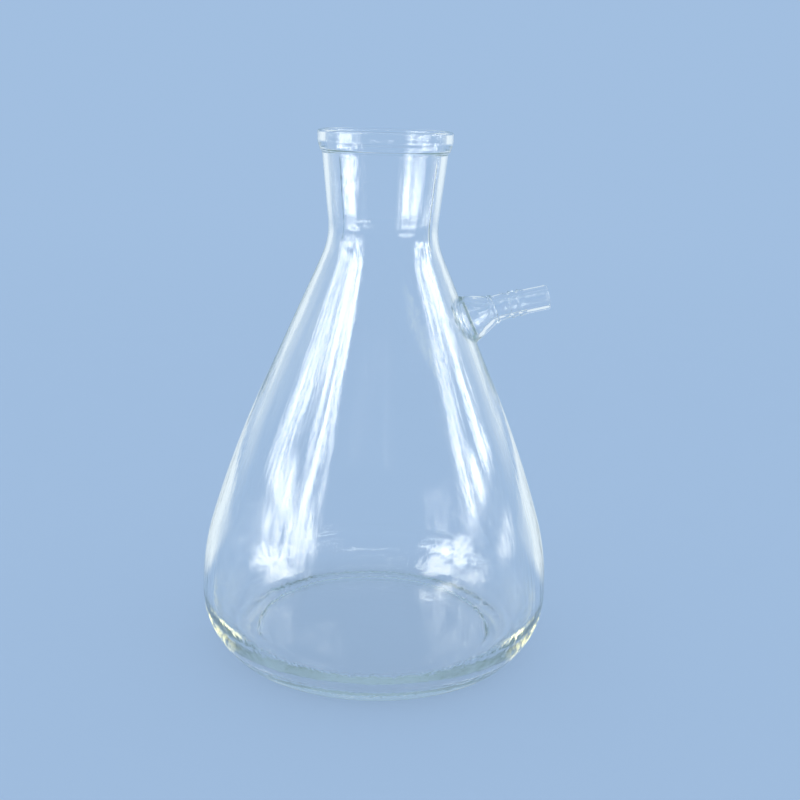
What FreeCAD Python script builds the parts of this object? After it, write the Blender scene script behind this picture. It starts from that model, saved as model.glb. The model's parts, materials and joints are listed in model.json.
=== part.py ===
import FreeCAD, Part
import math
import os

from FreeCAD import Vector

# Buchner (filter) flask, nominal 1000 ml, blown and lampworked in clear glass.
# Millimetres. +Z is up and is the flask's axis, z = 0 is the bench the flask stands on,
# and the side arm points along +X. Slopes are in degrees.

# ---- blown body, outside ----
HEIGHT = 195.0
BELLY_RADIUS = 66.4
HEEL_RADIUS = 6.8
HEEL_SLOPE = 45.4
LOWER_RADIUS = 29.2
BELLY_CURVE = 98.1
FLANK_SLOPE = 16.7
FLANK_CURVE = 446.0
CONE_SLOPE = 23.7
CONE_TOP = 150.1
SHOULDER_CURVE = 26.0
NECK_SLOPE = 6.0

# ---- blown body, inside ----
WALL = 3.4
FLOOR_HEIGHT = 6.2
FLOOR_EDGE = 43.9
FLOOR_PUSH_UP = 1.3
INNER_HEEL_CURVE = 18.0
INNER_CONE_SLOPE = 22.4
INNER_CONE_TOP = 149.6
INNER_SHOULDER_CURVE = 28.0
INNER_NECK_SLOPE = 5.4

# ---- collar round the mouth ----
COLLAR_FOOT = 186.7
COLLAR_STEP = 50.0
COLLAR_STEP_CURVE = 1.2
COLLAR_SLOPE = 17.0
COLLAR_CURVE = 3.0
COLLAR_RADIUS = 24.4
MOUTH_FOOT = 186.9
MOUTH_CURVE = 1.5
MOUTH_RADIUS = 21.9
RIM_ROUND = 1.1

# ---- underside ----
PUSH_UP = 1.4
RECESS_EDGE = 44.4
RECESS_HEIGHT = 0.67
RECESS_CURVE = 2.5
RECESS_SLOPE = 30.0

# ---- root of the side arm, drawn square out of the wall ----
ARM_ROOT = Vector(32.2, 0, 127.4)
ROOT_TILT = CONE_SLOPE
ROOT_LENGTH = 9.5
ROOT_FOOT_RADIUS = 10.9
ROOT_FOOT_DEPTH = 1.5
ROOT_FOOT_SLOPE = 60.0
ROOT_FLARE = 5.0
ROOT_SIDE_SLOPE = 18.0
ROOT_SIDE_CURVE = 84.0
ROOT_END_SLOPE = 24.0
ROOT_END_RADIUS = 5.49
WALL_HOLE_RADIUS = 6.8
PASSAGE_FOOT = -0.3
PASSAGE_SLOPE = 30.0
PASSAGE_CURVE = 9.0
PASSAGE_END_CURVE = 2.5
BORE_RADIUS = 3.1

# ---- hose tube, welded to the root and bent down to a lower slope ----
HOSE_TILT = 13.5
BEND_RADIUS = 12.0
BEAD_SWELL = 35.0
BEAD_CURVE = 0.9
BEAD_FALL = 50.0
TUBE_RADIUS = 5.1
HOSE_END_RADIUS = 4.575
BARB_FOOT = 0.3
BARB_COUNT = 3
BARB_CURVE = 0.5
BARB_RAMP = 14.0
PLAIN_END = 8.8
TIP_ROUND = 0.6
TIP_INNER_ROUND = 0.5

OUTWARD = 0.0
STEP = 45.0
UP = 90.0
INWARD = 180.0


def sine(degrees):
    return math.sin(math.radians(degrees))


def cosine(degrees):
    return math.cos(math.radians(degrees))


class Outline:
    """Half of a turned section, drawn as one pen stroke of lines and tangent arcs.

    x is the distance from the axis of turning and z the height along it. The heading is
    in degrees: 0 points outward, 90 up and 180 inward.
    """

    def __init__(self, x, z, heading=OUTWARD):
        self.start = Vector(x, 0, z)
        self.x = x
        self.z = z
        self.heading = heading
        self.edges = []

    def line_to(self, x, z):
        """Draw straight to a point."""
        self.edges.append(Part.makeLine(Vector(self.x, 0, self.z), Vector(x, 0, z)))
        self.heading = math.degrees(math.atan2(z - self.z, x - self.x)) % 360
        self.x = x
        self.z = z

    def up_to(self, z):
        """Draw straight on along the heading as far as height z."""
        run = (z - self.z) * cosine(self.heading) / sine(self.heading)
        self.line_to(self.x + run, z)

    def out_to(self, x):
        """Draw straight on along the heading as far from the axis as x."""
        rise = (x - self.x) * sine(self.heading) / cosine(self.heading)
        self.line_to(x, self.z + rise)

    def arc(self, radius, heading):
        """Draw an arc that leaves along the old heading and ends along the new one."""
        side = 1 if heading > self.heading else -1
        centre_x = self.x - side * radius * sine(self.heading)
        centre_z = self.z + side * radius * cosine(self.heading)

        def on_arc(at_heading):
            x = centre_x + side * radius * sine(at_heading)
            z = centre_z - side * radius * cosine(at_heading)
            return Vector(x, 0, z)

        start = on_arc(self.heading)
        middle = on_arc((self.heading + heading) / 2)
        end = on_arc(heading)
        self.edges.append(Part.Arc(start, middle, end).toShape())
        self.x = end.x
        self.z = end.z
        self.heading = heading

    def dome(self, edge_radius, drop):
        """Draw a shallow dome from the axis out to its edge."""
        radius = (edge_radius ** 2 + drop ** 2) / (2 * drop)
        self.arc(radius, -math.degrees(math.asin(edge_radius / radius)))

    def step_out(self, x, curve):
        """Swell out to x along an S-shaped step and end pointing straight up."""
        self.arc(curve, STEP)
        self.out_to(x - curve * (1 - sine(STEP)))
        self.arc(curve, UP)

    def ramp_in(self, x, curve, slope):
        """Shrink to x along a rounded ramp and end pointing straight up."""
        self.arc(curve, UP + slope)
        self.out_to(x + curve * (1 - cosine(slope)))
        self.arc(curve, UP)

    def turned(self):
        """Close the outline along the axis and turn it into a solid round +Z."""
        corners = [
            Vector(self.x, 0, self.z),
            Vector(0, 0, self.z),
            Vector(0, 0, self.start.z),
            self.start,
        ]
        edges = list(self.edges)
        for a, b in zip(corners, corners[1:]):
            if a.distanceToPoint(b) > 1e-6:
                edges.append(Part.makeLine(a, b))
        face = Part.Face(Part.Wire(Part.__sortEdges__(edges)))
        return face.revolve(Vector(0, 0, 0), Vector(0, 0, 1), 360)


def along_arm(tilt, length):
    """A step in the arm's plane, tilted up from +X."""
    return Vector(length * cosine(tilt), 0, length * sine(tilt))


def laid_along_arm(shape, start, tilt):
    """Turn a shape made round +Z so that its axis runs from start along the arm."""
    shape.rotate(Vector(0, 0, 0), Vector(0, 1, 0), 90 - tilt)
    shape.translate(start)
    return shape


def blown_outside():
    """The flask's outer skin, filled solid."""
    heel_run = HEEL_RADIUS * sine(HEEL_SLOPE)
    lower_run = LOWER_RADIUS * (1 - sine(HEEL_SLOPE))
    standing_ring_outer = BELLY_RADIUS - lower_run - heel_run

    skin = Outline(0, RECESS_HEIGHT + PUSH_UP)
    skin.dome(RECESS_EDGE, PUSH_UP)
    skin.arc(RECESS_CURVE, -RECESS_SLOPE)
    skin.arc(skin.z / (1 - cosine(RECESS_SLOPE)), OUTWARD)
    skin.line_to(standing_ring_outer, 0)
    skin.arc(HEEL_RADIUS, HEEL_SLOPE)
    skin.arc(LOWER_RADIUS, UP)
    skin.arc(BELLY_CURVE, UP + FLANK_SLOPE)
    skin.arc(FLANK_CURVE, UP + CONE_SLOPE)
    skin.up_to(CONE_TOP)
    skin.arc(SHOULDER_CURVE, UP - NECK_SLOPE)
    skin.up_to(COLLAR_FOOT)
    skin.arc(COLLAR_STEP_CURVE, UP - COLLAR_STEP)
    skin.arc(COLLAR_STEP_CURVE, UP - COLLAR_SLOPE)
    skin.out_to(COLLAR_RADIUS - COLLAR_CURVE * (1 - cosine(COLLAR_SLOPE)))
    skin.arc(COLLAR_CURVE, UP)
    skin.up_to(HEIGHT - RIM_ROUND)
    skin.arc(RIM_ROUND, INWARD)
    return skin.turned()


def blown_inside():
    """The space inside the flask, opening out over the rounded rim."""
    lining = Outline(0, FLOOR_HEIGHT)
    lining.dome(FLOOR_EDGE, FLOOR_PUSH_UP)
    lining.arc(INNER_HEEL_CURVE, UP)
    lining.arc(BELLY_CURVE - WALL, UP + FLANK_SLOPE)
    lining.arc(FLANK_CURVE - WALL, UP + INNER_CONE_SLOPE)
    lining.up_to(INNER_CONE_TOP)
    lining.arc(INNER_SHOULDER_CURVE, UP - INNER_NECK_SLOPE)
    lining.up_to(MOUTH_FOOT)
    lining.step_out(MOUTH_RADIUS, MOUTH_CURVE)
    lining.up_to(HEIGHT - RIM_ROUND)
    lining.arc(RIM_ROUND, OUTWARD)
    lining.line_to(MOUTH_RADIUS + RIM_ROUND, HEIGHT + 5)
    return lining.turned()


def root_passage():
    """The way from the flask through its wall and along the root, as a cutting tool.

    It starts wide and closes in along the root to the bore of the hose tube.
    """
    passage = Outline(WALL_HOLE_RADIUS, -2 * WALL, UP)
    passage.up_to(PASSAGE_FOOT)
    passage.arc(PASSAGE_CURVE, UP + PASSAGE_SLOPE)
    passage.out_to(BORE_RADIUS + PASSAGE_END_CURVE * (1 - cosine(PASSAGE_SLOPE)))
    passage.arc(PASSAGE_END_CURVE, UP)
    passage.up_to(ROOT_LENGTH + 1)
    return laid_along_arm(passage.turned(), ARM_ROOT, ROOT_TILT)


def flask_body(outside, passage):
    """Base, cone, neck and collar: one blown piece with a hole for the side arm."""
    return outside.cut(blown_inside()).cut(passage)


def side_arm_root(outside, passage):
    """The hollow boss on the wall, trumpet-shaped where it is fused to the flask."""
    boss = Outline(ROOT_FOOT_RADIUS, -ROOT_FOOT_DEPTH, UP + ROOT_FOOT_SLOPE)
    boss.arc(ROOT_FLARE, UP + ROOT_SIDE_SLOPE)
    boss.arc(ROOT_SIDE_CURVE, UP + ROOT_END_SLOPE)
    boss.line_to(ROOT_END_RADIUS, ROOT_LENGTH)
    return laid_along_arm(boss.turned(), ARM_ROOT, ROOT_TILT).cut(outside).cut(passage)


def weld_bead():
    """The thick ring at the weld, and the height at which it has faded into the tube."""
    bead = Outline(ROOT_END_RADIUS, 0, UP - BEAD_SWELL)
    bead.arc(BEAD_CURVE, UP + BEAD_FALL)
    bead.arc((bead.x - TUBE_RADIUS) / (1 - cosine(BEAD_FALL)), UP)
    return bead.turned(), bead.z


def hose_end():
    """The straight, serrated end of the hose tube, filled solid, and its length."""
    hose = Outline(TUBE_RADIUS, 0, UP)
    hose.up_to(BARB_FOOT)
    for barb in range(BARB_COUNT):
        if barb > 0:
            hose.step_out(TUBE_RADIUS, BARB_CURVE)
        hose.ramp_in(HOSE_END_RADIUS, BARB_CURVE, BARB_RAMP)
    hose.up_to(hose.z + PLAIN_END - TIP_ROUND)
    hose.arc(TIP_ROUND, INWARD)
    return hose.turned(), hose.z


def hose_bore(length):
    """The bore of the straight end, opening out over the rounded tip."""
    bore = Outline(BORE_RADIUS, 0, UP)
    bore.up_to(length - TIP_INNER_ROUND)
    bore.arc(TIP_INNER_ROUND, OUTWARD)
    bore.line_to(bore.x, length + 1)
    return bore.turned()


def bent_rod(radius, start, centre):
    """A round rod that turns down from the root's slope to the hose tube's slope."""
    section = Part.Face(Part.Wire(Part.makeCircle(radius, start, along_arm(ROOT_TILT, 1))))
    return section.revolve(centre, Vector(0, 1, 0), ROOT_TILT - HOSE_TILT)


def hose_barb():
    """The hose tube: weld bead, short bend, three rounded barbs and a plain end."""
    bead, bead_length = weld_bead()
    weld = ARM_ROOT + along_arm(ROOT_TILT, ROOT_LENGTH)
    bend_start = weld + along_arm(ROOT_TILT, bead_length)
    bend_centre = bend_start + along_arm(ROOT_TILT - 90, BEND_RADIUS)
    bend_end = bend_centre - along_arm(HOSE_TILT - 90, BEND_RADIUS)

    end, end_length = hose_end()
    tube = laid_along_arm(bead, weld, ROOT_TILT)
    tube = tube.fuse(bent_rod(TUBE_RADIUS, bend_start, bend_centre))
    tube = tube.fuse(laid_along_arm(end, bend_end, HOSE_TILT))

    bore = Part.makeCylinder(BORE_RADIUS, bead_length, weld, along_arm(ROOT_TILT, 1))
    bore = bore.fuse(bent_rod(BORE_RADIUS, bend_start, bend_centre))
    bore = bore.fuse(laid_along_arm(hose_bore(end_length), bend_end, HOSE_TILT))
    return tube.cut(bore).removeSplitter()


def write_parts():
    os.makedirs("parts", exist_ok=True)
    outside = blown_outside()
    passage = root_passage()
    nodes = {
        "flask_body": flask_body(outside, passage),
        "side_arm_root": side_arm_root(outside, passage),
        "hose_barb": hose_barb(),
    }
    for name, shape in nodes.items():
        shape.Solids[0].exportStep("parts/" + name + ".step")


write_parts()
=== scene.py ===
import json
import math

import bmesh
import bpy
from mathutils import Matrix, Vector, noise


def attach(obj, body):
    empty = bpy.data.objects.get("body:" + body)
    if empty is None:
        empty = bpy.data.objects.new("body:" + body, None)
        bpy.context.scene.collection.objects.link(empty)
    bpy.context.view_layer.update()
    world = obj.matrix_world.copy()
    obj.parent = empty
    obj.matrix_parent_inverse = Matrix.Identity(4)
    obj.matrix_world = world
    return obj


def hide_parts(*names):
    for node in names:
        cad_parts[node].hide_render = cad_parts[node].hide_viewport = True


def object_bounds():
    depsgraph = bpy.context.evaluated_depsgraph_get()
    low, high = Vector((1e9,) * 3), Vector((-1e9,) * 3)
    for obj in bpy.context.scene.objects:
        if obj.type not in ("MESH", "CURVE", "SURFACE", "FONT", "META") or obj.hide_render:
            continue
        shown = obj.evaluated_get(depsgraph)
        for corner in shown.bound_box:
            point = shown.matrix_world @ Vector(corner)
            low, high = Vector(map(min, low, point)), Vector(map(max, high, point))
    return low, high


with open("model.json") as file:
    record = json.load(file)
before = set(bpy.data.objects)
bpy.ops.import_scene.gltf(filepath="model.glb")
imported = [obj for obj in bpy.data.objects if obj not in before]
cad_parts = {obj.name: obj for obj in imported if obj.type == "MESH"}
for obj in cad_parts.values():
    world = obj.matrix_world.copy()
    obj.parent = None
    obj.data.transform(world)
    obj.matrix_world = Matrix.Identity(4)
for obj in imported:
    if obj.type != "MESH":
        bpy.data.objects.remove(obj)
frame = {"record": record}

CAD_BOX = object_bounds()

# Outlines are in millimetres and the meshes in metres. Slopes and headings are in degrees.
MM = 0.001
OUTWARD = 0.0
STEP = 45.0
UP = 90.0
INWARD = 180.0


def mount_size(name, size):
    """One size of a mount, in millimetres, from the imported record."""
    for mount in frame["record"]["mounts"]:
        if mount["name"] == name:
            return mount["dims"][size]


# ---- blown body, outside ----
HEIGHT = round(CAD_BOX[1].z / MM, 2)
HEEL_START = 53.15
HEEL_RADIUS = 6.8
HEEL_SLOPE = 45.4
LOWER_RADIUS = 29.2
BELLY_CURVE = 98.1
FLANK_SLOPE = 16.7
FLANK_CURVE = 446.0
CONE_SLOPE = 23.7
CONE_TOP = 150.1
CONE_TOP_RADIUS = 22.267
SHOULDER_CURVE = 26.0
NECK_SLOPE = 6.0

# ---- blown body, inside ----
WALL = 3.4
FLOOR_HEIGHT = 6.2
FLOOR_EDGE = 43.9
FLOOR_PUSH_UP = 1.3
INNER_HEEL_CURVE = 18.0
INNER_CONE_SLOPE = 22.4
INNER_CONE_TOP = 149.6
INNER_SHOULDER_CURVE = 28.0
INNER_NECK_SLOPE = 5.4

# ---- collar round the mouth ----
COLLAR_FOOT = 186.7
COLLAR_STEP = 50.0
COLLAR_STEP_CURVE = 1.2
COLLAR_SLOPE = 17.0
COLLAR_CURVE = 3.0
COLLAR_RADIUS = 24.4
MOUTH_FOOT = 186.9
MOUTH_CURVE = 1.5
MOUTH_RADIUS = mount_size("mouth", "r_mm")
RIM_ROUND = 1.1

# ---- underside ----
PUSH_UP = 1.4
RECESS_EDGE = 44.4
RECESS_HEIGHT = 0.67
RECESS_CURVE = 2.5
RECESS_SLOPE = 30.0

# ---- mould lines on the neck ----
SEAM_ANGLE = 324.0
SEAM_FOOT = 153.0
SEAM_TOP = 186.0
SEAM_HEIGHT = 0.18
SEAM_SHARPNESS = 0.7

# ---- waviness of the blown skins, which grows over WAVES_RISE of height. The middle is still ----
OUTER_WAVES = 0.05
OUTER_SEED = 1
INNER_WAVES = 0.08
INNER_SEED = 20
INNER_WAVES_FOOT = 4.5
WAVES_RISE = 60.0
STILL_RADIUS = 1.0
WIDE_WAVE = 17.0
WIDE_WAVE_LENGTH = 60.0
FINE_WAVE = 6.5
FINE_WAVE_LENGTH = 75.0
FINE_WAVE_SEED = 7
FINE_WAVE_SHARE = 0.35

# ---- root of the side arm. Its own z runs square out of the wall, from 0 at ARM_ROOT ----
ARM_ROOT = Vector((32.2, 0.0, 127.4))
ROOT_LENGTH = 9.5
ROOT_FOOT_RADIUS = 10.9
ROOT_FOOT_DEPTH = 1.5
ROOT_FOOT_SLOPE = 60.0
ROOT_FOOT_SPREAD = 1.7
ROOT_FLARE = 5.0
ROOT_SIDE_SLOPE = 18.0
ROOT_SIDE_CURVE = 84.0
ROOT_END_SLOPE = 24.0
ROOT_END_RADIUS = 5.49
BORE_RADIUS = 3.1
PASSAGE_START = 0.3
PASSAGE_FOOT = -0.3
PASSAGE_SLOPE = 30.0
PASSAGE_CURVE = 9.0
PASSAGE_END_CURVE = 2.5

# ---- hole in the wall behind the root, cut from well inside the wall to well outside ----
WALL_HOLE_RADIUS = 6.8
WALL_HOLE_ROUND = 1.2
WALL_HOLE_FOOT = -2.6
WELL_INSIDE = -8.0
WELL_OUTSIDE = 4.0

# ---- hose tube ----
HOSE_TILT = 13.5
BEND_RADIUS = 12.0
BEAD_LENGTH = 1.7
BEAD_SWELL = 35.0
BEAD_CURVE = 0.9
BEAD_FALL = 50.0
BEAD_TO_BARBS = 2.44
TUBE_RADIUS = 5.1
BARB_COUNT = 3
BARB_CURVE = 0.5
BARB_RAMP = 14.0
HOSE_END_RADIUS = mount_size("hose_end", "r_mm")
PLAIN_END = mount_size("hose_end", "length_mm")
TIP_ROUND = 0.6
TIP_INNER_ROUND = 0.5

# ---- how finely the meshes are divided, and in metres how close points are joined ----
ROUND = 240
ARM_ROUND = 128
HOLE_ROUND = 96
FLOOR_ROUND = 96
BODY_SPACING = 1.9
COLLAR_SPACING = 0.5
ROOT_SPACING = 0.5
HOLE_SPACING = 0.3
HOLE_EDGE_SPACING = 0.2
HOSE_SPACING = 0.35
BORE_SPACING = 0.6
ARC_POINTS = 4
ARC_DEGREES = 4
ROOT_SIDE_ROWS = 26
ROOT_SIDE_CROWDING = 1.5
ROOT_FOOT_ROWS = 7
ROOT_END_RINGS = (4.9, 4.3, 3.7)
HOSE_START_RINGS = (3.8, 4.5)
SHARP_EDGE = 40.0
HALVINGS = 24
FOOT_STEPS = 12
FOOT_GUESS = 9.5
SAME_PLACE = 1e-7

# ---- joints between the pieces, where they run into each other as one body of glass ----
FUSED = 0.3
HOLE_GAP = 0.1
BORE_GAP = 0.04
WELD_GAP = 0.02
JOINT_REACH = 25.0
JOINT_RADIUS = 14.0
SKIN_DEPTH = 0.4
END_DEPTH = 0.05
FACING_OUT = 0.8
CLEAR = 1.0

# ---- glass, in metres ----
GLASS_IOR = 1.48
GLASS_TINT = (0.895, 0.915, 0.83, 1)
GLASS_TINT_DENSITY = 8.0
CORD_SCALE = (420, 420, 26)
CORD_DEPTH = 0.00003
RIPPLE_SCALE = (300, 300, 160)
RIPPLE_DEPTH = 0.0002
RIPPLE_TOP = 0.026
RIPPLE_FULL_BELOW = 0.008
RIPPLE_INNER = 0.048
RIPPLE_FULL_BEYOND = 0.058

# ---- studio. The floor's glow is GLOW_NEAR up to FADE_START from the flask, then grows, in metres ----
STUDIO = (0.36, 0.52, 0.75)
SOFTBOX = (1.0, 1.0, 0.92)
SIDE = (0.80, 0.92, 1.0)
WARM = (1.0, 0.97, 0.55)
FLOOR_COLOUR = (0.93, 0.94, 0.95, 1)
FLOOR_RINGS = (0, 300, 900, 3000, 12000)
FLOOR_DROP = 0.02
GLOW_NEAR = 0.68
FADE_START = 0.2
FADE_END = 1.6
TABLE_LIFT = 0.4
TABLE_COLUMNS = 24
TABLE_ROWS = 4
MOST_REFLECTIONS = 3
BOUNCES = 96

# ---- patterns on the light sheets, in shares of a sheet and of its light ----
PETAL_SHARPNESS = 1.1
PETAL_LEAST = 0.03
HEART_START = 0.03
HEART_END = 0.15
WEDGE_HALF_WIDTH = 0.10
WEDGE_SOFT = 0.05
WEDGE_FOOT = 0.14
WEDGE_OPEN = 0.26
WEDGE_NARROWING = 0.2
WEDGE_CLOSED = 0.62
STREAK_LENGTH = 2.2
STREAK_ROUGHNESS = 0.62
STREAK_DARK = 0.42
STREAK_BRIGHT = 0.56
STREAK_LEAST = 0.05
HAIR_FINENESS = 1.8
HAIR_LENGTH = 1.6
HAIR_SEED = 5
HAIR_DARK = 0.42
HAIR_BRIGHT = 0.50
HAIR_LEAST = 0.30

# ---- camera, in metres and degrees ----
SENSOR_WIDTH = 36.0
LENS = 52.13
CAMERA_PLACE = Vector((0, -0.42349, 0.20729))
CAMERA_PITCH = 14.757
CAMERA_YAW = 1.074
CAMERA_ROLL = 1.729


def sine(degrees):
    return math.sin(math.radians(degrees))


def cosine(degrees):
    return math.cos(math.radians(degrees))


class Outline:
    """Half of a turned section, drawn as one pen stroke and kept as closely spaced points.

    x is the distance from the axis and z the height along it. Heading 0 is outward, 90 is up.
    """

    def __init__(self, x, z, heading=OUTWARD, spacing=BODY_SPACING):
        self.points = [(x, z)]
        self.heading = heading
        self.spacing = spacing

    def line_to(self, x, z):
        """Draw straight to a point."""
        x0, z0 = self.points[-1]
        length = math.hypot(x - x0, z - z0)
        count = max(1, round(length / self.spacing))
        for i in range(1, count + 1):
            t = i / count
            self.points.append((x0 + (x - x0) * t, z0 + (z - z0) * t))
        self.heading = math.degrees(math.atan2(z - z0, x - x0)) % 360

    def up_to(self, z):
        """Draw straight on along the heading as far as height z."""
        x0, z0 = self.points[-1]
        self.line_to(x0 + (z - z0) * cosine(self.heading) / sine(self.heading), z)

    def out_to(self, x):
        """Draw straight on along the heading as far from the axis as x."""
        x0, z0 = self.points[-1]
        self.line_to(x, z0 + (x - x0) * sine(self.heading) / cosine(self.heading))

    def arc(self, radius, heading):
        """Draw an arc that leaves along the old heading and ends along the new one."""
        x0, z0 = self.points[-1]
        side = 1 if heading > self.heading else -1
        centre_x = x0 - side * radius * sine(self.heading)
        centre_z = z0 + side * radius * cosine(self.heading)
        turn = heading - self.heading
        length = radius * math.radians(abs(turn))
        count = max(ARC_POINTS, round(length / self.spacing), round(abs(turn) / ARC_DEGREES))
        for i in range(1, count + 1):
            at = self.heading + turn * i / count
            x = centre_x + side * radius * sine(at)
            self.points.append((x, centre_z - side * radius * cosine(at)))
        self.heading = heading

    def dome(self, edge_radius, drop):
        """Draw a shallow dome from the axis out to its edge."""
        radius = (edge_radius ** 2 + drop ** 2) / (2 * drop)
        self.arc(radius, -math.degrees(math.asin(edge_radius / radius)))

    def step_out(self, x, curve):
        """Swell out to x along an S-shaped step and end pointing straight up."""
        self.arc(curve, STEP)
        self.out_to(x - curve * (1 - sine(STEP)))
        self.arc(curve, UP)

    def ramp_in(self, x, curve, slope):
        """Shrink to x along a rounded ramp and end pointing straight up."""
        self.arc(curve, UP + slope)
        self.out_to(x + curve * (1 - cosine(slope)))
        self.arc(curve, UP)


def outline_radius(outline, z):
    """How far an outline stands from its axis at height z. Below its foot it spreads on."""
    for (x0, z0), (x1, z1) in zip(outline, outline[1:]):
        if z0 <= z <= z1:
            return x0 + (x1 - x0) * (z - z0) / (z1 - z0)
    foot_x, foot_z = outline[0]
    return foot_x - (z - foot_z) * ROOT_FOOT_SPREAD


def body_outside():
    skin = Outline(0, RECESS_HEIGHT + PUSH_UP)
    skin.dome(RECESS_EDGE, PUSH_UP)
    skin.arc(RECESS_CURVE, -RECESS_SLOPE)
    skin.arc(skin.points[-1][1] / (1 - cosine(RECESS_SLOPE)), OUTWARD)
    skin.line_to(HEEL_START, 0)
    skin.arc(HEEL_RADIUS, HEEL_SLOPE)
    skin.arc(LOWER_RADIUS, UP)
    skin.arc(BELLY_CURVE, UP + FLANK_SLOPE)
    skin.arc(FLANK_CURVE, UP + CONE_SLOPE)
    skin.up_to(CONE_TOP)
    skin.arc(SHOULDER_CURVE, UP - NECK_SLOPE)
    skin.up_to(COLLAR_FOOT)
    skin.spacing = COLLAR_SPACING
    skin.arc(COLLAR_STEP_CURVE, UP - COLLAR_STEP)
    skin.arc(COLLAR_STEP_CURVE, UP - COLLAR_SLOPE)
    skin.out_to(COLLAR_RADIUS - COLLAR_CURVE * (1 - cosine(COLLAR_SLOPE)))
    skin.arc(COLLAR_CURVE, UP)
    skin.up_to(HEIGHT - RIM_ROUND)
    skin.arc(RIM_ROUND, INWARD)
    return skin.points


def body_inside():
    lining = Outline(0, FLOOR_HEIGHT)
    lining.dome(FLOOR_EDGE, FLOOR_PUSH_UP)
    lining.arc(INNER_HEEL_CURVE, UP)
    lining.arc(BELLY_CURVE - WALL, UP + FLANK_SLOPE)
    lining.arc(FLANK_CURVE - WALL, UP + INNER_CONE_SLOPE)
    lining.up_to(INNER_CONE_TOP)
    lining.arc(INNER_SHOULDER_CURVE, UP - INNER_NECK_SLOPE)
    lining.up_to(MOUTH_FOOT)
    lining.step_out(MOUTH_RADIUS, MOUTH_CURVE)
    lining.up_to(HEIGHT - RIM_ROUND)
    lining.arc(RIM_ROUND, OUTWARD)
    return lining.points


def root_outline():
    boss = Outline(ROOT_FOOT_RADIUS, -ROOT_FOOT_DEPTH, UP + ROOT_FOOT_SLOPE, ROOT_SPACING)
    boss.arc(ROOT_FLARE, UP + ROOT_SIDE_SLOPE)
    boss.arc(ROOT_SIDE_CURVE, UP + ROOT_END_SLOPE)
    boss.line_to(ROOT_END_RADIUS, ROOT_LENGTH)
    return boss.points


def passage_outline():
    """The air way through the root, which closes in from the wall hole to the hose bore."""
    passage = Outline(WALL_HOLE_RADIUS, WELL_INSIDE, UP, ROOT_SPACING)
    passage.up_to(PASSAGE_FOOT)
    passage.arc(PASSAGE_CURVE, UP + PASSAGE_SLOPE)
    passage.out_to(BORE_RADIUS + PASSAGE_END_CURVE * (1 - cosine(PASSAGE_SLOPE)))
    passage.arc(PASSAGE_END_CURVE, UP)
    passage.up_to(ROOT_LENGTH)
    return passage.points


def wall_hole_outline():
    """The hole in the flask's wall, flared where it meets the inside of the wall."""
    flare = Outline(WALL_HOLE_RADIUS + WALL_HOLE_ROUND, WELL_INSIDE, UP, HOLE_SPACING)
    flare.up_to(WALL_HOLE_FOOT)
    edge = Outline(WALL_HOLE_RADIUS + WALL_HOLE_ROUND, WALL_HOLE_FOOT, INWARD, HOLE_EDGE_SPACING)
    edge.arc(WALL_HOLE_ROUND, UP)
    edge.up_to(WELL_OUTSIDE)
    return flare.points + edge.points[1:]


def hose_outline():
    """The hose tube's outside, measured along its own bent axis from inside the weld."""
    hose = Outline(TUBE_RADIUS, -FUSED, UP, HOSE_SPACING)
    hose.line_to(ROOT_END_RADIUS - WELD_GAP, 0.0)
    hose.heading = UP - BEAD_SWELL
    hose.arc(BEAD_CURVE, UP + BEAD_FALL)
    hose.arc((hose.points[-1][0] - TUBE_RADIUS) / (1 - cosine(BEAD_FALL)), UP)
    hose.up_to(hose.points[-1][1] + BEAD_TO_BARBS)
    for barb in range(BARB_COUNT):
        if barb > 0:
            hose.step_out(TUBE_RADIUS, BARB_CURVE)
        hose.ramp_in(HOSE_END_RADIUS, BARB_CURVE, BARB_RAMP)
    hose.up_to(hose.points[-1][1] + PLAIN_END)
    hose.arc(TIP_ROUND, INWARD)
    return hose.points


def bore_outline(tip):
    """The hose tube's bore, opening out over the rounded tip."""
    bore = Outline(BORE_RADIUS, -FUSED, UP, BORE_SPACING)
    bore.up_to(tip - TIP_INNER_ROUND)
    bore.arc(TIP_INNER_ROUND, OUTWARD)
    return bore.points


def circle(x, z, count):
    """A level ring of points round the z axis, or a single point where x is 0."""
    if x < 1e-6:
        return [Vector((0, 0, z))]
    return [Vector((x * cosine(360 * i / count), x * sine(360 * i / count), z)) for i in range(count)]


def new_piece(name, verts, faces, smooth=False):
    mesh = bpy.data.meshes.new(name)
    mesh.from_pydata(verts, [], faces)
    if smooth:
        mesh.validate()
        mesh.shade_smooth()
    piece = bpy.data.objects.new(name, mesh)
    bpy.context.scene.collection.objects.link(piece)
    return piece


def rings_to_mesh(name, rings, loop=False):
    """Join rings of points into one closed mesh. A ring of one point is a pole."""
    verts = []
    starts = []
    for ring in rings:
        starts.append(len(verts))
        verts.extend(p * MM for p in ring)
    faces = []
    last = len(rings) if loop else len(rings) - 1
    for k in range(last):
        a, b = rings[k], rings[(k + 1) % len(rings)]
        ia, ib = starts[k], starts[(k + 1) % len(rings)]
        n = max(len(a), len(b))
        for i in range(n):
            j = (i + 1) % n
            if len(a) == 1:
                faces.append((ia, ib + j, ib + i))
            elif len(b) == 1:
                faces.append((ia + i, ia + j, ib))
            else:
                faces.append((ia + i, ia + j, ib + j, ib + i))
    return new_piece(name, verts, faces, smooth=True)


def drawn_noise(p, width, length, seed):
    """Smooth noise round the flask, drawn out along its height."""
    return noise.noise(Vector((p.x / width, p.y / width, p.z / length + seed)))


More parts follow.
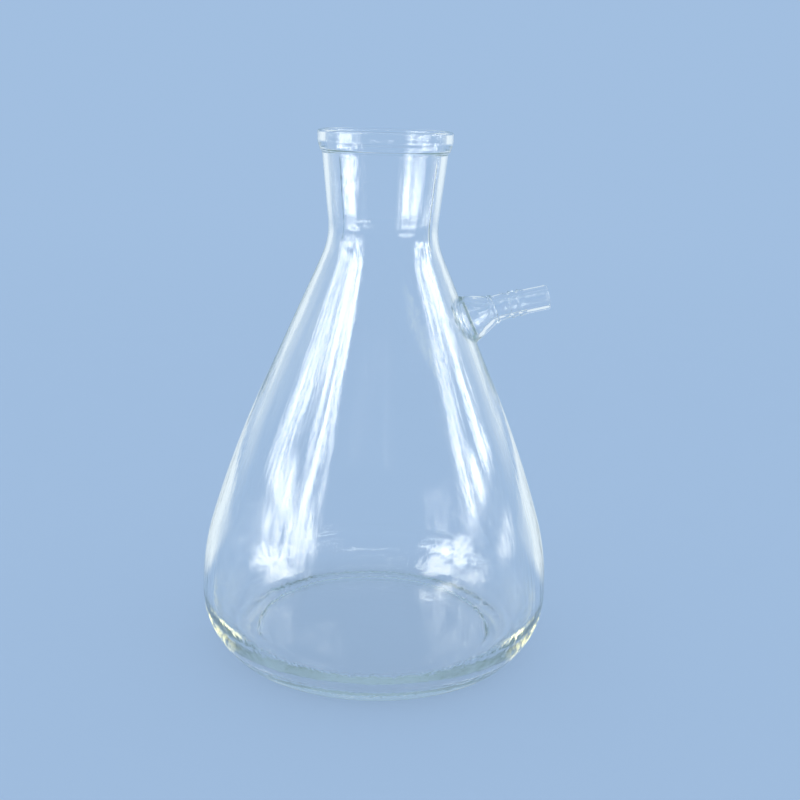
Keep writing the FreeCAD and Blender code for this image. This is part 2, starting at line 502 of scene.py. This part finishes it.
def wavy(ring, amount, seed):
    """Move a ring's points in or out by the slow ripple of blown glass."""
    out = []
    for p in ring:
        away = Vector((p.x, p.y, 0))
        if away.length > STILL_RADIUS:
            wide = drawn_noise(p, WIDE_WAVE, WIDE_WAVE_LENGTH, seed)
            fine = drawn_noise(p, FINE_WAVE, FINE_WAVE_LENGTH, seed + FINE_WAVE_SEED)
            p = p + away.normalized() * (amount * (wide + FINE_WAVE_SHARE * fine))
        out.append(p)
    return out


def seamed(ring):
    """Raise the two fine upright lines that the halves of the mould leave on the neck."""
    if SEAM_FOOT < ring[0].z < SEAM_TOP:
        for angle in (SEAM_ANGLE, SEAM_ANGLE - 180):
            at = round(angle / 360 * ROUND)
            ridge = ring[at]
            for beside in (at - 1, at + 1):
                ring[beside] = ridge.lerp(ring[beside], SEAM_SHARPNESS)
            ring[at] = ridge + Vector((ridge.x, ridge.y, 0)).normalized() * SEAM_HEIGHT
    return ring


def skin_rings(outline, waves, foot, seed):
    """The rings of one skin of the flask, which is wavier with height above its foot."""
    rings = []
    for x, z in outline:
        amount = waves * min(1, (z - foot) / WAVES_RISE)
        rings.append(wavy(circle(x, z, ROUND), amount, seed))
    return rings


def arm_matrix():
    """From the root's own axes, z square out of the wall, to the flask's."""
    return Matrix.Translation(ARM_ROOT) @ Matrix.Rotation(math.radians(UP - CONE_SLOPE), 4, "Y")


def wall_height(s, angle, inset=0.0):
    """Height in the root's axes where a line beside its axis meets the wall.

    The line is s from the axis. The wall is taken inset further in than it is.
    """
    to_arm = arm_matrix()
    low, high = WELL_INSIDE, WELL_OUTSIDE
    for _ in range(HALVINGS):
        middle = (low + high) / 2
        p = to_arm @ Vector((s * cosine(angle), s * sine(angle), middle))
        wall = CONE_TOP_RADIUS - (p.z - CONE_TOP) * math.tan(math.radians(CONE_SLOPE))
        if math.hypot(p.x, p.y) > wall - inset / cosine(CONE_SLOPE):
            high = middle
        else:
            low = middle
    return (low + high) / 2


def mark_joints(piece, exposure):
    """Store on each face corner how far it stands clear of the glass it is fused into.

    Below zero the surface lies inside the joint, where two pieces are one body of glass.
    """
    mesh = piece.data
    from_arm = arm_matrix().inverted()
    turned = from_arm.to_3x3()
    in_arm = [from_arm @ (v.co / MM) for v in mesh.vertices]
    clear = mesh.attributes.new("clear_of_joint", "FLOAT", "CORNER")
    values = [CLEAR] * len(mesh.loops)
    for face in mesh.polygons:
        if min(in_arm[v].length for v in face.vertices) > JOINT_REACH:
            continue
        facing = turned @ face.normal
        for k in face.loop_indices:
            values[k] = exposure(in_arm[mesh.loops[k].vertex_index], facing)
    clear.data.foreach_set("value", values)


def body_exposure(q, facing):
    """The flask's outer skin is inside the joint under the root's foot."""
    s = math.hypot(q.x, q.y)
    if facing.z < FACING_OUT or s > JOINT_RADIUS:
        return CLEAR
    wall = wall_height(s, math.degrees(math.atan2(q.y, q.x)))
    if abs(q.z - wall) > SKIN_DEPTH:
        return CLEAR
    return s - outline_radius(root_outline(), wall)


def root_exposure(q, facing):
    """The root is inside a joint at its end face, and wherever it lies below the wall."""
    if facing.z > FACING_OUT and q.z > ROOT_LENGTH - END_DEPTH:
        return -CLEAR
    s = math.hypot(q.x, q.y)
    if s > JOINT_RADIUS:
        return CLEAR
    return q.z - wall_height(s, math.degrees(math.atan2(q.y, q.x)))


def hose_exposure(q, facing):
    """The hose tube is inside the joint where it starts, just below the root's end."""
    return min(q.z - ROOT_LENGTH, CLEAR)


def join_points(mesh):
    """Make one of any points in the same place, which the cut can leave along its edge."""
    joined = bmesh.new()
    joined.from_mesh(mesh)
    bmesh.ops.remove_doubles(joined, verts=joined.verts, dist=SAME_PLACE)
    joined.to_mesh(mesh)
    joined.free()


def cut_wall_hole(piece):
    """Cut the hole behind the side arm, so that the flask's inside opens into the root."""
    to_arm = arm_matrix()
    rings = [[to_arm @ Vector((0, 0, WELL_INSIDE))]]
    for x, z in wall_hole_outline():
        rings.append([to_arm @ p for p in circle(x, z, HOLE_ROUND)])
    rings.append([to_arm @ Vector((0, 0, WELL_OUTSIDE))])
    tool = rings_to_mesh("hole_tool", rings)
    cut = piece.modifiers.new("hole", "BOOLEAN")
    cut.operation = "DIFFERENCE"
    cut.solver = "EXACT"
    cut.object = tool
    bpy.context.view_layer.update()
    depsgraph = bpy.context.evaluated_depsgraph_get()
    mesh = bpy.data.meshes.new_from_object(piece.evaluated_get(depsgraph))
    join_points(mesh)
    piece.modifiers.clear()
    piece.data = mesh
    bpy.data.objects.remove(tool)


def flask_body():
    """Base, cone, neck and collar: one blown piece with a hole for the side arm."""
    outside = skin_rings(body_outside(), OUTER_WAVES, 0.0, OUTER_SEED)
    inside = skin_rings(body_inside(), INNER_WAVES, INNER_WAVES_FOOT, INNER_SEED)
    piece = rings_to_mesh("blown_flask", [seamed(ring) for ring in outside] + inside[::-1])
    cut_wall_hole(piece)
    return piece


def root_foot_points(angles, outline):
    """At each angle, the x and z where the root's outline runs into the wall."""
    points = []
    for angle in angles:
        x = FOOT_GUESS
        for _ in range(FOOT_STEPS):
            z = wall_height(x, angle, FUSED)
            x = outline_radius(outline, z)
        points.append((x, z))
    return points


def root_side_ring(angles, feet, outline, share):
    """A ring round the root's outside, at a share of the way from its foot to its end."""
    ring = []
    for angle, (x, z) in zip(angles, feet):
        height = z + (ROOT_LENGTH - z) * share
        r = outline_radius(outline, height)
        ring.append(Vector((r * cosine(angle), r * sine(angle), height)))
    return ring


def root_foot_ring(angles, feet, share):
    """A ring on the root's foot, at a share of the way from the wall hole to its outside."""
    hole = WALL_HOLE_RADIUS + HOLE_GAP
    ring = []
    for angle, (x, z) in zip(angles, feet):
        r = hole + (x - hole) * share
        height = wall_height(r, angle, FUSED)
        ring.append(Vector((r * cosine(angle), r * sine(angle), height)))
    return ring


def side_arm_root():
    """The hollow boss on the wall, trumpet-shaped where it is fused to the flask."""
    outline = root_outline()
    passage = [(x, z) for x, z in passage_outline() if z > PASSAGE_START]
    angles = [360 * i / ARM_ROUND for i in range(ARM_ROUND)]
    feet = root_foot_points(angles, outline)

    rings = []
    for k in range(ROOT_SIDE_ROWS + 1):
        share = (k / ROOT_SIDE_ROWS) ** ROOT_SIDE_CROWDING
        rings.append(root_side_ring(angles, feet, outline, share))
    for r in ROOT_END_RINGS:
        rings.append(circle(r, ROOT_LENGTH, ARM_ROUND))
    for x, z in passage[::-1]:
        rings.append(circle(x + BORE_GAP, z, ARM_ROUND))
    for k in range(ROOT_FOOT_ROWS):
        rings.append(root_foot_ring(angles, feet, k / ROOT_FOOT_ROWS))

    to_arm = arm_matrix()
    placed = [[to_arm @ p for p in ring] for ring in rings]
    return rings_to_mesh("arm_root", placed, loop=True)


def bent_place(x, angle, along):
    """A point of the hose tube: x from its axis, at a distance along the bent axis."""
    bend = math.radians(CONE_SLOPE - HOSE_TILT)
    past_bead = along - BEAD_LENGTH
    past_bend = past_bead - BEND_RADIUS * bend
    if past_bead < 0:
        turned = 0.0
        centre = Vector((0, along))
    else:
        turned = min(bend, past_bead / BEND_RADIUS)
        sideways = BEND_RADIUS * (1 - math.cos(turned))
        onward = BEAD_LENGTH + BEND_RADIUS * math.sin(turned)
        centre = Vector((sideways, onward))
    if past_bend > 0:
        centre += Vector((math.sin(bend), math.cos(bend))) * past_bend
    side = x * cosine(angle)
    local_x = centre.x + side * math.cos(turned)
    local_z = centre.y - side * math.sin(turned)
    return Vector((local_x, x * sine(angle), local_z + ROOT_LENGTH))


def hose_barb():
    """The hose tube: weld bead, short bend, three rounded barbs and a plain end."""
    outline = hose_outline()
    outline += bore_outline(outline[-1][1])[::-1]
    outline += [(x, -FUSED) for x in HOSE_START_RINGS]
    to_arm = arm_matrix()
    rings = []
    for x, along in outline:
        ring = [to_arm @ bent_place(x, 360 * i / ARM_ROUND, along) for i in range(ARM_ROUND)]
        rings.append(ring)
    return rings_to_mesh("hose_tube", rings, loop=True)


class Shader:
    """One material's nodes. A value is a plain one, or the output of another node."""

    def __init__(self, name):
        self.material = bpy.data.materials.new(name)
        self.material.use_nodes = True
        self.nodes = self.material.node_tree.nodes
        self.links = self.material.node_tree.links
        self.nodes.clear()

    def put(self, socket, value):
        if isinstance(value, bpy.types.NodeSocket):
            self.links.new(value, socket)
        else:
            socket.default_value = value

    def add(self, kind, **inputs):
        """A new node with these inputs, such as Base_Color for the input Base Color."""
        node = self.nodes.new("ShaderNode" + kind)
        for name, value in inputs.items():
            self.put(node.inputs[name.replace("_", " ")], value)
        return node

    def maths(self, operation, a, b=0.0):
        node = self.nodes.new("ShaderNodeMath")
        node.operation = operation
        self.put(node.inputs[0], a)
        self.put(node.inputs[1], b)
        return node.outputs[0]

    def product(self, first, *others):
        for value in others:
            first = self.maths("MULTIPLY", first, value)
        return first

    def length(self, vector, scale=(1, 1, 1)):
        """How long a vector is, once each of its parts is scaled."""
        scaled = self.nodes.new("ShaderNodeVectorMath")
        scaled.operation = "MULTIPLY"
        self.put(scaled.inputs[0], vector)
        self.put(scaled.inputs[1], scale)
        measured = self.nodes.new("ShaderNodeVectorMath")
        measured.operation = "LENGTH"
        self.put(measured.inputs[0], scaled.outputs["Vector"])
        return measured.outputs["Value"]

    def ramp(self, value, start, end, low=0.0, high=1.0, kind="LINEAR"):
        """From low, where the value is at start, to high, where it is at end."""
        node = self.add("MapRange", Value=value, From_Min=start, From_Max=end, To_Min=low, To_Max=high)
        node.interpolation_type = kind
        return node.outputs["Result"]

    def ease(self, value, start, end, low=0.0, high=1.0):
        return self.ramp(value, start, end, low, high, "SMOOTHSTEP")

    def noise(self, place, scale, detail, roughness=0.5, shift=0.0):
        moved = self.add("Mapping", Vector=place, Scale=scale, Location=(shift, 0, 0))
        spread = moved.outputs["Vector"]
        node = self.add("TexNoise", Vector=spread, Scale=1.0, Detail=detail, Roughness=roughness)
        return node.outputs["Fac"]

    def blend(self, share, a, b):
        """Two surfaces in one: a where the share is 0, b where it is 1."""
        node = self.nodes.new("ShaderNodeMixShader")
        self.put(node.inputs[0], share)
        self.put(node.inputs[1], a.outputs[0])
        self.put(node.inputs[2], b.outputs[0])
        return node

    def finish(self, surface, volume=None):
        out = self.add("OutputMaterial", Surface=surface.outputs[0])
        if volume:
            self.put(out.inputs["Volume"], volume.outputs[0])
        return self.material


def glass_relief(shader):
    """Drawn-out cords everywhere, and a pressed ripple low on the outside of the heel."""
    place = shader.add("TexCoord").outputs["Object"]
    height = shader.add("SeparateXYZ", Vector=place).outputs["Z"]
    low_down = shader.ease(height, RIPPLE_TOP, RIPPLE_FULL_BELOW)
    far_out = shader.ease(shader.length(place, (1, 1, 0)), RIPPLE_INNER, RIPPLE_FULL_BEYOND)
    ripple = shader.product(shader.noise(place, RIPPLE_SCALE, detail=2.0), low_down, far_out)
    cords = shader.noise(place, CORD_SCALE, detail=3.0)
    under = shader.add("Bump", Strength=1.0, Distance=CORD_DEPTH, Height=cords).outputs["Normal"]
    return shader.add("Bump", Strength=1.0, Distance=RIPPLE_DEPTH, Height=ripple, Normal=under)


def glass_material():
    """Clear glass, faintly tinted in depth, which doesn't bend light inside a joint."""
    shader = Shader("clear_glass")
    joint = shader.add("Attribute")
    joint.attribute_name = "clear_of_joint"
    fused = shader.maths("LESS_THAN", joint.outputs["Fac"], 0.0)
    glass = shader.add(
        "BsdfPrincipled",
        Base_Color=(1, 1, 1, 1),
        Roughness=0.0,
        Transmission_Weight=1.0,
        IOR=shader.maths("SUBTRACT", GLASS_IOR, shader.product(fused, GLASS_IOR - 1)),
        Normal=glass_relief(shader).outputs["Normal"],
    )
    tint = shader.add("VolumeAbsorption", Color=GLASS_TINT, Density=GLASS_TINT_DENSITY)
    return shader.finish(glass, tint)


def floor():
    """A wide pale floor, lit only by the sky round it, that runs into the sky's colour."""
    piece = rings_to_mesh("floor", [circle(x, -FLOOR_DROP, FLOOR_ROUND) for x in FLOOR_RINGS])
    shader = Shader("floor")
    matt = shader.add("BsdfDiffuse", Color=FLOOR_COLOUR)
    glow = shader.add("Emission", Color=(*STUDIO, 1))
    far = shader.length(shader.add("TexCoord").outputs["Object"])
    share = shader.ease(far, FADE_START, FADE_END, low=GLOW_NEAR)
    piece.data.materials.append(shader.finish(shader.blend(share, matt, glow)))


def sky():
    """Even light from all round, in the floor's own colour."""
    world = bpy.data.worlds.new("studio")
    world.use_nodes = True
    world.node_tree.nodes["Background"].inputs["Color"].default_value = (*STUDIO, 1)
    bpy.context.scene.world = world


def only_reflected(shader):
    """1 for light that reaches the camera by a few mirror-like reflections, otherwise 0."""
    path = shader.add("LightPath")
    reflections = path.outputs["Glossy Depth"]
    some = shader.maths("GREATER_THAN", reflections, 0.5)
    few = shader.maths("LESS_THAN", reflections, MOST_REFLECTIONS + 0.5)
    sharp = shader.maths("LESS_THAN", path.outputs["Diffuse Depth"], 0.5)
    return shader.product(some, few, sharp)


def soft_edges(shader, across, reach):
    """Bright in the middle, and falling off over this reach at both sides."""
    to_edge = shader.maths("MINIMUM", across, shader.maths("SUBTRACT", 1.0, across))
    return shader.ease(to_edge, 0.0, reach)


def petal_ring(shader, across, up, petals, soft):
    """A round patch of lobes about a dark heart."""
    x = shader.maths("SUBTRACT", across, 0.5)
    y = shader.maths("SUBTRACT", up, 0.5)
    square = shader.maths("ADD", shader.product(x, x), shader.product(y, y))
    far = shader.maths("SQRT", square)
    turn = shader.product(shader.maths("ARCTAN2", y, x), petals / 2)
    lobes = shader.maths("ABSOLUTE", shader.maths("SINE", turn))
    lobes = shader.ramp(shader.maths("POWER", lobes, PETAL_SHARPNESS), 0.0, 1.0, low=PETAL_LEAST)
    disc = shader.ease(far, 0.5, 0.5 - soft)
    heart = shader.ease(far, HEART_START, HEART_END)
    return shader.product(disc, heart, lobes)


def wedge_gap(shader, across, up):
    """Dark in a wedge on the sheet's middle line, widest low down and closed above and below."""
    off = shader.maths("ABSOLUTE", shader.maths("SUBTRACT", across, 0.5))
    high = shader.ease(up, WEDGE_NARROWING, WEDGE_CLOSED)
    half_width = shader.product(shader.maths("SUBTRACT", 1.0, high), WEDGE_HALF_WIDTH)
    beside = shader.ease(shader.maths("SUBTRACT", off, half_width), 0.0, WEDGE_SOFT)
    foot = shader.ease(up, WEDGE_OPEN, WEDGE_FOOT)
    return shader.maths("MAXIMUM", shader.maths("MAXIMUM", beside, foot), high)


def streaks(shader, place, threads, seed):
    """Upright streaks, broken up again by hairs."""
    wide = (threads, STREAK_LENGTH, 1)
    fine = (threads * HAIR_FINENESS, HAIR_LENGTH, 1)
    streak = shader.noise(place, wide, detail=4.0, roughness=STREAK_ROUGHNESS, shift=seed)
    hair = shader.noise(place, fine, detail=2.0, shift=seed + HAIR_SEED)
    streak = shader.ramp(streak, STREAK_DARK, STREAK_BRIGHT, low=STREAK_LEAST)
    hair = shader.ramp(hair, HAIR_DARK, HAIR_BRIGHT, low=HAIR_LEAST)
    return shader.product(streak, hair)


def sheet_mesh(name, place, columns, rows):
    """A sheet whose points are given by place, from two shares: across it and up it."""
    corners = []
    for k in range(rows + 1):
        for i in range(columns + 1):
            corners.append(place(i / columns, k / rows) * MM)
    faces = []
    for k in range(rows):
        for i in range(columns):
            a = k * (columns + 1) + i
            faces.append((a, a + 1, a + columns + 2, a + columns + 1))
    piece = new_piece(name, corners, faces)
    uv = piece.data.uv_layers.new(name="UVMap")
    for loop in piece.data.loops:
        k, i = divmod(loop.vertex_index, columns + 1)
        uv.data[loop.index].uv = (i / columns, k / rows)
    return piece


def light_sheet(name, place, columns, rows, strength, colour=SOFTBOX, soft=0.3, fade=0.3,
                threads=0, petals=0, wedge=False, seed=0):
    """A bright sheet that only shows as a reflection, never straight on or through the glass.

    The light falls off over the share soft at its sides, and over the share fade at its top
    and bottom. Threads breaks it into upright streaks, petals into a ring of lobes, and wedge
    leaves a dark wedge in its middle.
    """
    piece = sheet_mesh(name, place, columns, rows)
    shader = Shader(name)
    shader.material.cycles.emission_sampling = "NONE"
    uv = shader.add("UVMap").outputs["UV"]
    split = shader.add("SeparateXYZ", Vector=uv)
    across, up = split.outputs["X"], split.outputs["Y"]
    shown = only_reflected(shader)
    if petals:
        shown = shader.product(shown, petal_ring(shader, across, up, petals, soft))
    else:
        shown = shader.product(shown, soft_edges(shader, across, soft), soft_edges(shader, up, fade))
    if wedge:
        shown = shader.product(shown, wedge_gap(shader, across, up))
    if threads:
        shown = shader.product(shown, streaks(shader, uv, threads, seed))
    clear = shader.add("BsdfTransparent")
    light = shader.add("Emission", Color=(*colour, 1), Strength=strength)
    piece.data.materials.append(shader.finish(shader.blend(shown, clear, light)))


def card(name, azimuth, width, low, high, distance, strength, **look):
    """An upright softbox. Azimuth is seen from the flask, from the camera's side towards +X."""
    across = Vector((cosine(azimuth), sine(azimuth), 0))
    away = Vector((sine(azimuth), -cosine(azimuth), 0)) * distance
    half = distance * math.tan(math.radians(width / 2))

    def place(u, v):
        return away + across * half * (2 * u - 1) + Vector((0, 0, low + (high - low) * v))

    light_sheet(name, place, 1, 1, strength, **look)


def table_glow(name, start, end, near, far, strength, **look):
    """Light on the table beside the flask, between two azimuths and two distances."""

    def place(u, v):
        turn = start + (end - start) * u
        reach = near + (far - near) * v
        return Vector((sine(turn) * reach, -cosine(turn) * reach, TABLE_LIFT))

    light_sheet(name, place, TABLE_COLUMNS, TABLE_ROWS, strength, **look)


def softboxes():
    """The tall lights on both sides, and one overhead."""
    card("softbox_left", azimuth=-69, width=62, low=190, high=1000, distance=1000, strength=12,
         soft=0.10, fade=0.10, threads=15, wedge=True, seed=1)
    card("tail_left", azimuth=-67, width=56, low=60, high=330, distance=1000, strength=8,
         soft=0.3, fade=0.4, threads=11, seed=2)
    card("softbox_right", azimuth=89, width=46, low=170, high=900, distance=1000, strength=12,
         soft=0.14, fade=0.10, threads=13, wedge=True, seed=3)
    card("overhead", azimuth=10, width=70, low=1350, high=2100, distance=1000, strength=7,
         soft=0.25, fade=0.25, threads=9, seed=10)


def low_lights():
    """Two petalled spots and the strips below them, which light the foot of the flask."""
    card("spot_left", azimuth=-66, width=34, low=35, high=100, distance=500, strength=7,
         soft=0.12, petals=9)
    card("spot_right", azimuth=49, width=40, low=92, high=141, distance=500, strength=7,
         soft=0.12, petals=9)
    card("strip_left", azimuth=-72, width=34, low=4, high=75, distance=480, strength=7,
         threads=7, seed=4)
    card("strip_right", azimuth=40, width=34, low=4, high=75, distance=480, strength=6,
         threads=7, seed=5)
    card("strip_right_mid", azimuth=66, width=28, low=4, high=75, distance=480, strength=4,
         threads=7, seed=6)
    card("strip_right_back", azimuth=96, width=28, low=4, high=75, distance=480, strength=4,
         threads=7, seed=7)


def side_light():
    """Pale light from behind and from the table, seen along the flask's edges."""
    card("reflector_back_left", azimuth=-140, width=48, low=0, high=330, distance=700, strength=1.0,
         soft=0.12, fade=0.3, colour=SIDE)
    card("reflector_back_right", azimuth=140, width=46, low=0, high=330, distance=700, strength=1.0,
         soft=0.12, fade=0.3, colour=SIDE)
    table_glow("glow_left", start=-55, end=-135, near=57, far=78, strength=3.2,
               soft=0.25, fade=0.3, threads=20, seed=8, colour=WARM)
    table_glow("glow_right", start=55, end=135, near=57, far=78, strength=3.2,
               soft=0.25, fade=0.3, threads=20, seed=9, colour=WARM)
    table_glow("table_left", start=-112, end=-168, near=90, far=600, strength=1.0,
               soft=0.12, fade=0.1, colour=SIDE)
    table_glow("table_right", start=112, end=168, near=90, far=600, strength=1.0,
               soft=0.12, fade=0.1, colour=SIDE)


def camera():
    data = bpy.data.cameras.new("camera")
    data.sensor_width = SENSOR_WIDTH
    data.lens = LENS
    level = Vector((sine(CAMERA_YAW), cosine(CAMERA_YAW), 0))
    forward = level * cosine(CAMERA_PITCH) - Vector((0, 0, sine(CAMERA_PITCH)))
    right = forward.cross(Vector((0, 0, 1))).normalized()
    up = right.cross(forward)
    rolled_right = right * cosine(CAMERA_ROLL) + up * sine(CAMERA_ROLL)
    rolled_up = up * cosine(CAMERA_ROLL) - right * sine(CAMERA_ROLL)
    turn = Matrix((rolled_right, rolled_up, -forward)).transposed().to_4x4()
    piece = bpy.data.objects.new("camera", data)
    piece.matrix_world = Matrix.Translation(CAMERA_PLACE) @ turn
    bpy.context.scene.collection.objects.link(piece)
    bpy.context.scene.camera = piece


def flask():
    """The three pieces, each in place of its CAD node."""
    glass = glass_material()
    pieces = (
        ("flask_body", flask_body, body_exposure),
        ("side_arm_root", side_arm_root, root_exposure),
        ("hose_barb", hose_barb, hose_exposure),
    )
    for node, build, exposure in pieces:
        piece = build()
        piece.data.set_sharp_from_angle(angle=math.radians(SHARP_EDGE))
        mark_joints(piece, exposure)
        piece.data.materials.clear()
        piece.data.materials.append(glass)
        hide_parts(node)
        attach(piece, "root")


flask()
floor()
sky()
softboxes()
low_lights()
side_light()
camera()
scene = bpy.context.scene
scene.view_settings.view_transform = "Standard"
scene.cycles.max_bounces = BOUNCES
scene.cycles.glossy_bounces = BOUNCES
scene.cycles.transmission_bounces = BOUNCES
